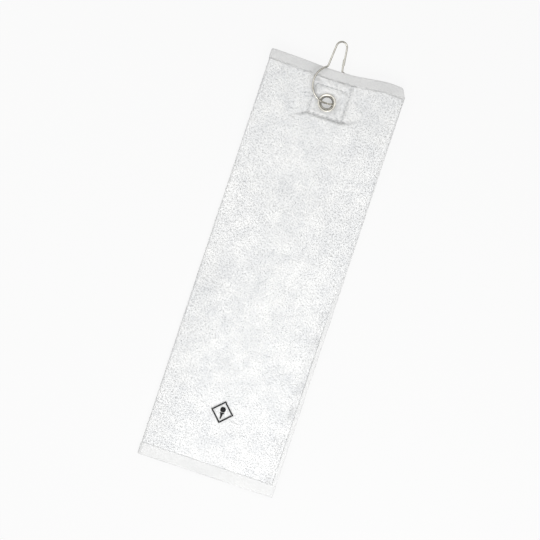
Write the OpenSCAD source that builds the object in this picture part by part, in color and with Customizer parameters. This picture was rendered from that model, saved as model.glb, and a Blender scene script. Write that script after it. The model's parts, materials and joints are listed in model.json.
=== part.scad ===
// Golf towel folded in thirds, with an eyelet and a spring wire clip.
// Millimetres, lying face up: +Y towards the clip end, +Z out of the visible face.

/* [Cloth] */
// Length of the towel, hem to hem
cloth_length = 400; // [300:5:600]
// Width of the folded towel
cloth_width = 133; // [90:1:220]
// Thickness of one terry layer
layer_t = 1.9; // [1:0.1:4]
// Air between the front third and the middle third
flap_gap = 0.3; // [0.3:0.05:1]
// Thickness of one hem
hem_t = 1.3; // [0.8:0.1:2]
// Width of the hem across the clip end
top_hem = 10; // [5:1:20]
// Width of the hem across the free end
bottom_hem = 12; // [5:1:20]
// Width of the side hems
side_hem = 4; // [3:0.5:10]
// Width of the hidden strip between the middle third's hem and the left fold
inner_gap = 0.4; // [0.3:0.1:4]

/* [Lift over the clip] */
// Where the cloth starts to rise, measured from the clip end
ramp_start = 115; // [80:1:160]
// Where the cloth is level again, measured from the clip end
ramp_end = 52; // [46:1:70]
// Where the sewn part of the front third ends
sewn_end = 118; // [116:1:180]

/* [Stitched square] */
// Width of the stitched square
box_w = 33; // [25:1:50]
// Height of the stitched square
box_h = 28; // [20:1:45]
// Width of a thread line
thread_w = 0.7; // [0.3:0.1:1.5]
// Height of a thread line above the cloth
thread_h = 0.35; // [0.2:0.05:1]

/* [Eyelet] */
// Eyelet centre below the clip end of the cloth
eyelet_drop = 33; // [25:1:60]
// Eyelet centre left of the towel's centre line
eyelet_left = 1.6; // [0:0.1:20]
// Inside radius of the barrel
barrel_r = 5.9; // [5:0.1:9]
// Outside radius of the flanges
flange_r = 8.8; // [8:0.1:13]
// Height of a flange crown from the eyelet's middle plane
crown = 1.9; // [1.6:0.1:2.4]

/* [Wire clip] */
// Wire radius
wire_r = 0.9; // [0.6:0.05:1.5]
// Centreline radius of the ring
ring_r = 18.6; // [14:0.1:25]
// How far the ring sits below the eyelet's centre
ring_sag = 1.2; // [0:0.1:3]
// Tilt of the clip's plane out of the cloth
tilt = 26; // [24:1:60]
// Lean of the clip to the left
lean = 3.7; // [0:0.1:10]
// Centreline radius of the neck
neck_r = 5.7; // [4:0.1:9]
// Neck centre along the clip, from the eyelet
neck_v = 53.4; // [45:0.1:70]
// Neck centre across the clip
neck_u = 0.35; // [-2:0.05:2]
// Half width of the clip at the shoulders
shoulder_u = 7.9; // [6:0.1:11]
// Height of the shoulders along the clip
shoulder_v = 34.2; // [33:0.1:40]
// Bend radius of the shoulders
shoulder_r = 2.2; // [1.5:0.1:5]

/* [Emblem] */
// Half diagonal of the diamond
emblem_r = 11; // [6:0.5:20]
// Thickness of the embroidery
emblem_t = 0.5; // [0.2:0.1:1]
// Centre of the emblem above the free end
emblem_up = 61.6; // [30:1:120]

/* [Hidden] */
$fn = 64;

// The neck's highest point sets the length of the whole, which is centred on Y = 0.
neck_y = neck_u * cos(tilt) * sin(lean) + neck_v * cos(lean)
    + neck_r * sqrt(pow(cos(tilt) * sin(lean), 2) + pow(cos(lean), 2)) + wire_r;
total = cloth_length - eyelet_drop + neck_y;
y_low = -total / 2;
y_top = y_low + cloth_length;
edge_y = y_top - 1;
ex = -eyelet_left;
ey = y_top - eyelet_drop;
hole_z = ring_r * sin(tilt) + wire_r;

x_left = -cloth_width / 2;
x_right = cloth_width / 2;
mid_z = layer_t;
low_front = 2 * layer_t + flap_gap;
stack = low_front + layer_t;
fold_r = stack / 2;
rise = hole_z - (stack / 2 - 0.2);
fold_x = x_left + fold_r;
turn_x = x_right - layer_t;
free_x = x_right - side_hem;
hinge_x = fold_x + flap_gap + 0.05 + layer_t / 2;
hem_lift = 0.3;
y_ramp = y_top - ramp_start;
y_level = y_top - ramp_end;
y_sewn = y_top - sewn_end;
y_hem_top = edge_y - top_hem;
y_hem_low = y_low + bottom_hem;
hem_mid = hole_z - 1.5 * hem_t;
cut_r = barrel_r + 0.7;
recess_r = flange_r + 0.5;
grip = 1.2;

terry = [0.95, 0.95, 0.95];
flat = [0.88, 0.89, 0.9];
thread = [0.8, 0.8, 0.82];
nickel = [0.72, 0.7, 0.66];
ink = [0.05, 0.05, 0.06];

function lift(y) = y <= y_ramp ? 0
    : y >= y_level ? rise
    : rise * (y - y_ramp) / (y_level - y_ramp);

// Y stations of a layer from a to b, with the ramp's two knees where they fall between.
function stations(a, b) = [
    a, if (y_ramp > a && y_ramp < b) y_ramp, if (y_level > a && y_level < b) y_level, b
];

// Points of an arc in a profile, from angle a to angle b.
function arc(cx, cy, r, a, b, n) = [
    for (i = [0:n]) [cx + r * cos(a + (b - a) * i / n), cy + r * sin(a + (b - a) * i / n)]
];

// A strip of cloth that follows the ramp: x0 to x1, y0 to y1, z0 to z1 over the table.
module layer(x0, x1, y0, y1, z0, z1) {
    ys = stations(y0, y1);
    n = len(ys) - 1;
    translate([x0, 0, 0])
        rotate([90, 0, 90])
            linear_extrude(height = x1 - x0)
                polygon([
                    for (i = [0:n]) [ys[i], z0 + lift(ys[i])],
                    for (i = [0:n]) [ys[n - i], z1 + lift(ys[n - i])]
                ]);
}

// A block in plain coordinates.
module slab(x0, x1, y0, y1, z0, z1) {
    translate([x0, y0, z0]) cube([x1 - x0, y1 - y0, z1 - z0]);
}

// A straight run of a fold's section, drawn about its own axis, from y0 to y1.
module fold_run(x, z, y0, y1, past) {
    z0 = z + lift(y0);
    z1 = z + lift(y1);
    slope = atan((z1 - z0) / (y1 - y0));
    run = norm([y1 - y0, z1 - z0]) + past;
    translate([x, y1, z1]) rotate([90 + slope, 0, 0]) linear_extrude(height = run) children();
}

module fold_sweep(x, z, y0, y1) {
    fold_run(x, z, y0, y_ramp, 0) children();
    fold_run(x, z, y_ramp, y_level, 0.3) children();
    fold_run(x, z, y_level, y1, 0.3) children();
}

module hole_cut(r, z0, z1) {
    translate([ex, ey, hole_z + z0]) cylinder(r = r, h = z1 - z0);
}

module back_panel() {
    color(terry) difference() {
        layer(fold_x, turn_x, y_hem_low, y_hem_top, 0, layer_t);
        hole_cut(cut_r, -10, 10);
        hole_cut(recess_r, -10, -grip);
    }
}

module middle_flap() {
    color(terry) difference() {
        layer(fold_x + inner_gap + side_hem, turn_x, y_hem_low, y_hem_top, mid_z, 2 * layer_t);
        hole_cut(cut_r, -10, 10);
    }
}

module front_top() {
    color(terry) difference() {
        layer(fold_x, free_x, y_sewn, y_hem_top, 2 * layer_t, stack);
        hole_cut(cut_r, -10, 10);
        hole_cut(recess_r, grip, 10);
    }
}

module front_flap() {
    color(terry) {
        slab(hinge_x, free_x, y_hem_low, y_sewn - flap_gap, low_front, stack);
        translate([hinge_x, y_sewn - flap_gap, low_front + layer_t / 2])
            rotate([90, 0, 0]) cylinder(r = layer_t / 2, h = y_sewn - flap_gap - y_hem_low);
    }
}

module left_fold() {
    color(terry) fold_sweep(fold_x, fold_r, y_low, edge_y) polygon(concat(
        arc(0, 0, fold_r, 90, 270, 14),
        arc(0, 0, fold_r - layer_t, 270, 90, 8)
    ));
}

module right_fold() {
    color(terry) fold_sweep(turn_x, layer_t, y_low, y_hem_top) polygon(arc(0, 0, layer_t, -90, 90, 12));
}

// The hems lie lower than the pile beside them.
module top_hem_part(x0, x1, step) {
    color(flat) slab(x0, x1, y_hem_top, edge_y, hem_mid + step * hem_t, hem_mid + (step + 1) * hem_t);
}

module top_hem_back() { top_hem_part(fold_x, turn_x, 0); }
module top_hem_middle() { top_hem_part(fold_x + inner_gap, turn_x, 1); }
module top_hem_front() { top_hem_part(fold_x, x_right, 2); }

module bottom_hem_back() {
    color(flat) slab(fold_x, turn_x, y_low, y_hem_low, 0, hem_t);
}

module bottom_hem_middle() {
    color(flat) slab(fold_x + inner_gap, turn_x, y_low, y_hem_low, mid_z - 0.6, mid_z - 0.6 + hem_t);
}

module bottom_hem_front() {
    color(flat) slab(hinge_x, x_right, y_low, y_hem_low, low_front + hem_lift, low_front + hem_lift + hem_t);
}

module side_hem_middle() {
    x0 = fold_x + inner_gap;
    color(flat) layer(x0, x0 + side_hem, y_hem_low, y_hem_top, mid_z, mid_z + hem_t);
}

module side_hem_front_top() {
    z0 = low_front + hem_lift;
    color(flat) layer(free_x, x_right, y_sewn, y_hem_top, z0, z0 + hem_t);
}

module side_hem_front_flap() {
    z0 = low_front + hem_lift;
    color(flat) slab(free_x, x_right, y_hem_low, y_sewn - flap_gap, z0, z0 + hem_t);
}

// A square line of thread on a face at height z.
module box_line(z) {
    x0 = ex - box_w / 2 + 2;
    y0 = ey - box_h / 2 + 0.5;
    translate([x0, y0, z]) difference() {
        cube([box_w, box_h, thread_h]);
        translate([thread_w, thread_w, -1]) cube([box_w - 2 * thread_w, box_h - 2 * thread_w, 3]);
    }
}

module box_stitching() {
    color(thread) {
        box_line(stack + rise);
        box_line(rise - thread_h);
    }
}

module top_hem_stitching() {
    z1 = hem_mid + 3 * hem_t;
    color(thread) slab(fold_x, x_right - 1, y_hem_top + 0.6, y_hem_top + 0.6 + thread_w, z1, z1 + thread_h);
}

module bottom_hem_stitching() {
    z1 = low_front + hem_lift + hem_t;
    color(thread) slab(hinge_x, x_right - 1, y_hem_low - 1.3, y_hem_low - 1.3 + thread_w, z1, z1 + thread_h);
}

module side_hem_stitching() {
    z1 = low_front + hem_lift + hem_t;
    color(thread) slab(free_x + 0.5, free_x + 0.5 + thread_w, y_hem_low, y_sewn - 1, z1, z1 + thread_h);
}

module eyelet() {
    throat = 2;
    roll = 1.5;
    color(nickel) translate([ex, ey, hole_z]) rotate_extrude() polygon(concat(
        arc(barrel_r + throat, crown - throat, throat, 180, 90, 9),
        arc(flange_r - 0.7, crown - 0.7, 0.7, 90, 0, 6),
        [[flange_r - 0.3, grip], [barrel_r + 0.5, grip], [barrel_r + 0.5, -grip - 0.35]],
        [[barrel_r + 1.7, -grip - 0.35]],
        arc(barrel_r + roll, roll - crown, roll, 270, 180, 8)
    ));
}

module washer() {
    r0 = barrel_r + 0.55;
    color(nickel) translate([ex, ey, hole_z]) rotate_extrude() polygon([
        [r0, -grip], [flange_r - 0.2, -grip], [flange_r, -grip - 0.15],
        [flange_r - 0.2, -grip - 0.3], [r0, -grip - 0.3]
    ]);
}

// The clip is drawn flat, u across and v along, then tilted into the eyelet.
module in_clip() {
    translate([ex, ey, hole_z]) rotate([0, 0, lean]) rotate([0, tilt, 0]) children();
}

// A round bend in the clip's plane, from angle a to angle b.
module bend(c, r, a, b) {
    translate([c[0], c[1], 0]) rotate([0, 0, a])
        rotate_extrude(angle = b - a) translate([r, 0]) circle(r = wire_r);
}

// A straight length of wire between two points.
module rod(p, q) {
    d = q - p;
    translate(p)
        rotate([0, acos(d[2] / norm(d)), atan2(d[1], d[0])]) cylinder(r = wire_r, h = norm(d));
}

// A ball that closes an end or joins two lengths of wire.
module ball(p) {
    translate([p[0], p[1], len(p) > 2 ? p[2] : 0]) sphere(r = wire_r + 0.012);
}

ring_c = [0, ring_r - ring_sag];
neck_c = [neck_u, neck_v];
leg_low = [-shoulder_u, shoulder_v];

// The left leg runs from the shoulder, tangent to the neck's bend.
to_neck = neck_c - leg_low;
leg_angle = atan2(to_neck[1], to_neck[0]) + asin(neck_r / norm(to_neck));
leg_d = [cos(leg_angle), sin(leg_angle)];
neck_in = leg_low + sqrt(to_neck * to_neck - neck_r * neck_r) * leg_d;
out_d = [-leg_d[1], leg_d[0]];

// The shoulder's bend touches the leg on one side and the ring on the other.
off = leg_low + shoulder_r * out_d - ring_c;
along = off * leg_d;
fillet_s = sqrt(along * along - off * off + pow(ring_r + shoulder_r, 2)) - along;
fillet_on_leg = leg_low + fillet_s * leg_d;
fillet_c = fillet_on_leg + shoulder_r * out_d;
fillet_a = atan2(fillet_c[1] - ring_c[1], fillet_c[0] - ring_c[0]);
leg_a = leg_angle - 90;
split_a = asin((wire_r + 0.3) / ring_r);

neck_out = [neck_u + neck_r, neck_v, 0];
hook_end = [6.4, 37, 1.75];
gate_low = [-fillet_on_leg[0], fillet_on_leg[1], 0];
gate_end = [6.55, 43.4, -1.3];

module clip_hook() {
    color(nickel) in_clip() {
        bend(ring_c, ring_r, fillet_a, 270 - split_a);
        ball(ring_c + ring_r * [cos(fillet_a), sin(fillet_a)]);
        bend(fillet_c, shoulder_r, fillet_a - 180, leg_a);
        ball(fillet_on_leg);
        rod([fillet_on_leg[0], fillet_on_leg[1], 0], [neck_in[0], neck_in[1], 0]);
        ball(neck_in);
        bend(neck_c, neck_r, 0, leg_angle + 90);
        ball(neck_out);
        rod(neck_out, hook_end);
        ball(hook_end);
    }
}

// The gate is one swept tube: its centreline, then rings of points with a domed end each way.
function flat_arc(c, r, a, b, n) = [for (q = arc(c[0], c[1], r, a, b, n)) [q[0], q[1], 0]];
gate_path = concat(
    flat_arc(ring_c, ring_r, -90, 180 - fillet_a, 24),
    [for (i = [1:5]) flat_arc([-fillet_c[0], fillet_c[1]], shoulder_r, 360 - fillet_a, 180 - leg_a, 5)[i]],
    [gate_low + (gate_end - gate_low) * 0.5, gate_end]
);
last = len(gate_path) - 1;
function unit(v) = v / norm(v);
function heading(i) = unit(gate_path[min(i + 1, last)] - gate_path[max(i - 1, 0)]);
dome = [25, 50, 78];
gate_rings = concat(
    [for (i = [2:-1:0]) [gate_path[0] - wire_r * sin(dome[i]) * heading(0), heading(0), wire_r * cos(dome[i])]],
    [for (i = [0:last]) [gate_path[i], heading(i), wire_r]],
    [for (d = dome) [gate_end + wire_r * sin(d) * heading(last), heading(last), wire_r * cos(d)]]
);
sides = 16;
function ring_points(g) =
    let (n = unit(cross(g[1], [0, 0, 1])), b = cross(n, g[1]))
    [for (k = [0:sides - 1]) g[0] + g[2] * (cos(360 * k / sides) * n + sin(360 * k / sides) * b)];

module clip_gate() {
    n = len(gate_rings);
    color(nickel) in_clip() polyhedron(
        points = [for (g = gate_rings) each ring_points(g)],
        faces = concat(
            [[for (k = [0:sides - 1]) k]],
            [for (i = [0:n - 2]) for (k = [0:sides - 1])
                [i * sides + k, (i + 1) * sides + k, (i + 1) * sides + (k + 1) % sides, i * sides + (k + 1) % sides]],
            [[for (k = [sides - 1:-1:0]) (n - 1) * sides + k]]
        )
    );
}

// A plain diamond with a ball on a tee.
module emblem() {
    inner = emblem_r - 1.4;
    color(ink) translate([ex - 1.5, y_low + emblem_up, stack]) {
        difference() {
            linear_extrude(height = emblem_t)
                polygon([[emblem_r, 0], [0, emblem_r], [-emblem_r, 0], [0, -emblem_r]]);
            translate([0, 0, -1]) linear_extrude(height = 3)
                polygon([[inner, 0], [0, inner], [-inner, 0], [0, -inner]]);
        }
        translate([0, 2.4, 0]) cylinder(r = 2.5, h = emblem_t);
        linear_extrude(height = emblem_t) polygon([[-2, -0.8], [2, -0.8], [0.5, -2], [0, -6], [-0.5, -2]]);
    }
}

back_panel();
middle_flap();
front_top();
front_flap();
left_fold();
right_fold();
top_hem_back();
top_hem_middle();
top_hem_front();
bottom_hem_back();
bottom_hem_middle();
bottom_hem_front();
side_hem_middle();
side_hem_front_top();
side_hem_front_flap();
box_stitching();
top_hem_stitching();
bottom_hem_stitching();
side_hem_stitching();
eyelet();
washer();
clip_hook();
clip_gate();
emblem();
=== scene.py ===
"""Golf towel with a wire clip: the visual model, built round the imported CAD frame."""

import json
import logging
import math
from dataclasses import dataclass
from enum import Enum
from typing import Callable, Optional, Sequence, Union

import bmesh
import bpy
import numpy as np
from mathutils import Matrix, Vector

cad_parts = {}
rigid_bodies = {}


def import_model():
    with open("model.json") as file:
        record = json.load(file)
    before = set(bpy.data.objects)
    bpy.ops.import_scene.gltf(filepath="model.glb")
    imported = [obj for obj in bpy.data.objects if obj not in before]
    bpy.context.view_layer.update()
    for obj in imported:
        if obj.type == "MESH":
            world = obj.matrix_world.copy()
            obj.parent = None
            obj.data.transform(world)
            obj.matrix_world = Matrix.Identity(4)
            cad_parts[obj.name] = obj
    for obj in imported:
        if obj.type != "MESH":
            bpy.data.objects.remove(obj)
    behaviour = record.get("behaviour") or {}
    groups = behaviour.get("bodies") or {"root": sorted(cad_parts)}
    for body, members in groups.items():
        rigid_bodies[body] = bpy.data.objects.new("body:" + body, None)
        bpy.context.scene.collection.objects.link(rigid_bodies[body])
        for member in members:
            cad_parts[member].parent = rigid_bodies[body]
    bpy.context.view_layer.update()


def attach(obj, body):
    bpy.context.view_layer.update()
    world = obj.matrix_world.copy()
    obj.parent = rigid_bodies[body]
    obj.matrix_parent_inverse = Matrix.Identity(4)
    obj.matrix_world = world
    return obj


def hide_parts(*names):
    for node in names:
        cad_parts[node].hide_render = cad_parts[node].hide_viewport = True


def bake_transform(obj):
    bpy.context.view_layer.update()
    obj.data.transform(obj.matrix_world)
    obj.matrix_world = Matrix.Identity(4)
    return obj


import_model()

log = logging.getLogger("golf_towel")
Number = Union[int, float]
Surface = Callable[[np.ndarray, np.ndarray], np.ndarray]
MM = 0.001


# ----------------------------------------------------------------------------- shader maths
class Sock:
    """A shader socket, or a number, that can be added, multiplied and compared."""

    def __init__(self, tree: bpy.types.NodeTree, value: Union[Number, bpy.types.NodeSocket]) -> None:
        """Keep the tree that new nodes go into, and the value."""
        self.tree = tree
        self.value = value

    def _math(self, operation: str, *others: Union["Sock", Number]) -> "Sock":
        """Add a Math node.

        Args:
            operation: the node's operation.
            others: its second and third values.

        Returns:
            The node's result.
        """
        values = [self, *others]
        return node(self.tree, "ShaderNodeMath", {"operation": operation}, dict(enumerate(values)))

    def __add__(self, other: Union["Sock", Number]) -> "Sock":
        """Sum."""
        return self._math("ADD", other)

    def __radd__(self, other: Number) -> "Sock":
        """Sum, reflected."""
        return self._math("ADD", other)

    def __sub__(self, other: Union["Sock", Number]) -> "Sock":
        """Difference."""
        return self._math("SUBTRACT", other)

    def __rsub__(self, other: Number) -> "Sock":
        """Difference, reflected."""
        return (self * -1.0)._math("ADD", other)

    def __mul__(self, other: Union["Sock", Number]) -> "Sock":
        """Product."""
        return self._math("MULTIPLY", other)

    def __rmul__(self, other: Number) -> "Sock":
        """Product, reflected."""
        return self._math("MULTIPLY", other)

    def sine(self) -> "Sock":
        """Sine."""
        return self._math("SINE")

    def near(self, centre: Number, reach: Number) -> "Sock":
        """1 within reach of centre, 0 elsewhere."""
        return self._math("COMPARE", centre, reach)

    def clamp(self) -> "Sock":
        """Limit to 0 to 1."""
        return node(self.tree, "ShaderNodeClamp", {}, {0: self})


def node(tree: bpy.types.NodeTree, kind: str, settings: dict, inputs: dict,
         output: Union[int, str] = 0) -> Sock:
    """Add any node.

    Args:
        tree: the tree that it goes into.
        kind: the node's type.
        settings: its properties, set first; "stops" are a ramp's.
        inputs: values or sockets, by the input's name or index.
        output: which output to return.

    Returns:
        The output, ready for maths.
    """
    made = tree.nodes.new(kind)
    for key, value in settings.items():
        if key == "stops":
            ramp = made.color_ramp
            while len(ramp.elements) < len(value):
                ramp.elements.new(0.5)
            for element, (place, colour) in zip(ramp.elements, value):
                element.position = place
                element.color = (*colour, 1.0)
        else:
            setattr(made, key, value)
    for key, value in inputs.items():
        raw = value.value if isinstance(value, Sock) else value
        if isinstance(raw, bpy.types.NodeSocket):
            tree.links.new(raw, made.inputs[key])
        else:
            made.inputs[key].default_value = raw
    return Sock(tree, made.outputs[output])


def start_material(name: str) -> tuple[bpy.types.Material, bpy.types.NodeTree, bpy.types.Node]:
    """Make an empty node material.

    Args:
        name: its name.

    Returns:
        The material, its tree and its output node.
    """
    material = bpy.data.materials.new(name)
    material.use_nodes = True
    tree = material.node_tree
    tree.nodes.clear()
    return material, tree, tree.nodes.new("ShaderNodeOutputMaterial")


def mix_colour(tree: bpy.types.NodeTree, factor: Sock, low: Sequence[float], high: Sequence[float]) -> Sock:
    """Mix two colours.

    Args:
        tree: the tree.
        factor: 0 for low, 1 for high.
        low: first colour.
        high: second colour.

    Returns:
        The colour.
    """
    return node(tree, "ShaderNodeValToRGB", {"stops": [(0.0, tuple(low)), (1.0, tuple(high))]}, {0: factor})


@dataclass(frozen=True)
class Cotton:
    """Cotton cloth or thread: cloudy colour, darkened by painted shade from a shade attribute, with pile or
    weave in the bump.
    """

    name: str
    dark: tuple[float, float, float]
    light: tuple[float, float, float]
    cloud_scale: float = 70.0
    grain_scale: float = 900.0
    grain: float = 0.35
    weave_pitch: float = 0.0
    roughness: float = 0.93
    sheen: float = 0.15

    def make(self) -> bpy.types.Material:
        """Build the material and return it."""
        material, tree, out = start_material(self.name)
        place = node(tree, "ShaderNodeTexCoord", {}, {}, "Object")
        cloud = node(tree, "ShaderNodeTexNoise", {}, {"Vector": place, "Scale": self.cloud_scale,
                                                      "Detail": 3.0, "Roughness": 0.6})
        grain = node(tree, "ShaderNodeTexNoise", {}, {"Vector": place, "Scale": self.grain_scale,
                                                      "Detail": 2.0, "Distortion": 0.8})
        tone = ((cloud - 0.32) * 1.5 + (grain - 0.34) * 1.7).clamp()
        colour = mix_colour(tree, tone, self.dark, self.light)
        # painted shade: the shade attribute darkens the colour where shade falls on the real cloth
        shade = node(tree, "ShaderNodeAttribute", {"attribute_name": "shade"}, {}, "Fac")
        colour = node(tree, "ShaderNodeVectorMath", {"operation": "SCALE"}, {0: colour, "Scale": 1.0 - shade})
        height = grain
        if self.weave_pitch:
            x = node(tree, "ShaderNodeSeparateXYZ", {}, {0: place}, "X")
            y = node(tree, "ShaderNodeSeparateXYZ", {}, {0: place}, "Y")
            turn = 2.0 * math.pi / self.weave_pitch
            over = (x * turn).sine() * (y * turn).sine()
            height = over * 0.5 + grain * 0.5
        bump = node(tree, "ShaderNodeBump", {},
                    {"Height": height, "Strength": self.grain, "Distance": 0.0006})
        shader = node(tree, "ShaderNodeBsdfPrincipled", {}, {
            "Base Color": colour, "Roughness": self.roughness, "Sheen Weight": self.sheen,
            "Sheen Roughness": 0.6, "Normal": bump})
        tree.links.new(shader.value, out.inputs["Surface"])
        return material


@dataclass(frozen=True)
class Plating:
    """Bright nickel plate with faint drawing lines and wear."""

    name: str
    colour: tuple[float, float, float] = (0.72, 0.7, 0.645)
    dull: tuple[float, float, float] = (0.5, 0.485, 0.44)
    roughness: float = 0.2

    def make(self) -> bpy.types.Material:
        """Build the material and return it."""
        material, tree, out = start_material(self.name)
        place = node(tree, "ShaderNodeTexCoord", {}, {}, "Object")
        wear = node(tree, "ShaderNodeTexNoise", {}, {"Vector": place, "Scale": 260.0, "Detail": 4.0})
        fine = node(tree, "ShaderNodeTexNoise", {}, {"Vector": place, "Scale": 2500.0, "Detail": 2.0})
        colour = mix_colour(tree, ((wear - 0.3) * 1.8).clamp(), self.dull, self.colour)
        rough = wear * 0.12 + (self.roughness - 0.04)
        bump = node(tree, "ShaderNodeBump", {}, {"Height": fine, "Strength": 0.06, "Distance": 0.0002})
        shader = node(tree, "ShaderNodeBsdfPrincipled", {}, {
            "Base Color": colour, "Metallic": 1.0, "Roughness": rough, "Normal": bump})
        tree.links.new(shader.value, out.inputs["Surface"])
        return material


class Finish(Enum):
    """The finishes of the towel."""

    # terry ground: cloudy tone of its own, set darker than the loops as painted shade in the gaps between them
    PAINTED_SHADE_TERRY = Cotton("terry ground with painted shade", (0.65, 0.66, 0.675), (0.84, 0.84, 0.835), grain=0.5)
    LOOP = Cotton("terry loops", (0.72, 0.73, 0.75), (0.945, 0.945, 0.94), grain_scale=650.0, grain=0.3)
    HEM = Cotton("flat woven hem", (0.7, 0.705, 0.71), (0.79, 0.79, 0.79), cloud_scale=60.0,
                 weave_pitch=0.00085, grain=0.6, roughness=0.88)
    EDGE = Cotton("flat woven selvedge", (0.715, 0.72, 0.725), (0.785, 0.785, 0.785), cloud_scale=60.0,
                  weave_pitch=0.00085, grain=0.45, roughness=0.88)
    SEAM = Cotton("light sewing thread", (0.74, 0.745, 0.75), (0.83, 0.83, 0.83),
                  cloud_scale=200.0, grain=0.2)
    # white thread made dark grey as painted shade of its needle holes
    THREAD = Cotton("sewing thread", (0.42, 0.43, 0.44), (0.57, 0.58, 0.59),
                    cloud_scale=200.0, grain=0.2)
    INK = Cotton("black embroidery thread", (0.001, 0.001, 0.001), (0.006, 0.006, 0.007), cloud_scale=300.0,
                 grain=0.2, roughness=0.75, sheen=0.0)
    NICKEL = Plating("bright nickel plate")


MATERIALS: dict[Finish, bpy.types.Material] = {}


def dress(piece: bpy.types.Object, finish: Finish) -> bpy.types.Object:
    """Give a piece its finish.

    Args:
        piece: the piece.
        finish: its finish.

    Returns:
        The piece.
    """
    if finish not in MATERIALS:
        MATERIALS[finish] = finish.value.make()
    piece.data.materials.clear()
    piece.data.materials.append(MATERIALS[finish])
    return piece


# ----------------------------------------------------------------------------- mesh helpers
def mesh_piece(name: str, points: np.ndarray, quads: np.ndarray,
               others: Sequence[Sequence[int]] = ()) -> bpy.types.Object:
    """Make an object from points in millimetres.

    Args:
        name: the piece's name.
        points: its points, one row each.
        quads: four indices a row.
        others: faces of any other size.

    Returns:
        The object, at the origin.
    """
    mesh = bpy.data.meshes.new(name)
    sizes = [4] * len(quads) + [len(f) for f in others]
    loops = np.concatenate([quads.ravel()] + [np.asarray(f, int) for f in others])
    mesh.vertices.add(len(points))
    mesh.vertices.foreach_set("co", (np.asarray(points, float) * MM).ravel())
    mesh.loops.add(len(loops))
    mesh.loops.foreach_set("vertex_index", loops.astype(np.int32))
    mesh.polygons.add(len(sizes))
    starts = np.concatenate([[0], np.cumsum(sizes)[:-1]]).astype(np.int32)
    mesh.polygons.foreach_set("loop_start", starts)
    mesh.polygons.foreach_set("loop_total", np.array(sizes, np.int32))
    mesh.polygons.foreach_set("use_smooth", np.full(len(sizes), True))
    mesh.update(calc_edges=True)
    mesh.validate()
    thing = bpy.data.objects.new(name, mesh)
    bpy.context.collection.objects.link(thing)
    return thing


def apply_stack(piece: bpy.types.Object) -> None:
    """Apply a piece's modifiers.

    Args:
        piece: the piece.
    """
    depsgraph = bpy.context.evaluated_depsgraph_get()
    done = bpy.data.meshes.new_from_object(piece.evaluated_get(depsgraph))
    old = piece.data
    done.name = old.name
    piece.modifiers.clear()
    piece.data = done
    bpy.data.meshes.remove(old)


def add_stack(piece: bpy.types.Object, *stack: tuple[str, dict]) -> bpy.types.Object:
    """Give a piece a stack of modifiers and apply it.

    Args:
        piece: the piece.
        stack: each modifier's type and settings, in order.

    Returns:
        The piece.
    """
    for kind, settings in stack:
        made = piece.modifiers.new(kind.title(), kind)
        for key, value in settings.items():
            setattr(made, key, value)
    apply_stack(piece)
    return piece


def cloth(name: str, grid: np.ndarray, thickness: float, side: float = 0.0,
          levels: int = 0) -> bpy.types.Object:
    """Thicken a coarse grid of points into cloth, with rolled edges where it is subdivided.

    Args:
        name: the piece's name.
        grid: points, rows along +Y and columns along +X.
        thickness: the cloth's thickness in millimetres.
        side: 1 to grow upwards from the grid, -1 downwards, 0 both ways.
        levels: how often it is subdivided.

    Returns:
        The object.
    """
    rows, columns = grid.shape[:2]
    index = np.arange(rows * columns).reshape(rows, columns)
    quads = np.stack([index[:-1, :-1], index[:-1, 1:], index[1:, 1:], index[1:, :-1]], -1).reshape(-1, 4)
    piece = mesh_piece(name, grid.reshape(-1, 3), quads)
    stack = [("SOLIDIFY", {"thickness": thickness * MM, "offset": side, "use_even_offset": False})]
    if levels:
        stack.append(("SUBSURF", {"levels": levels, "render_levels": levels}))
    return add_stack(piece, *stack)


def swept_ring(name: str, rings: np.ndarray) -> bpy.types.Object:
    """Join closed rings of points into a capped tube.

    Args:
        name: the piece's name.
        rings: points, shaped (rings, points in a ring, 3), turning left-handed about the way they go.

    Returns:
        The object.
    """
    count, around = rings.shape[:2]
    index = np.arange(count * around).reshape(count, around)
    beside = np.roll(index, -1, axis=1)
    quads = np.stack([index[:-1], beside[:-1], beside[1:], index[1:]], -1).reshape(-1, 4)
    caps = [list(index[0][::-1]), list(index[-1])]
    return mesh_piece(name, rings.reshape(-1, 3), quads, caps)


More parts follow.
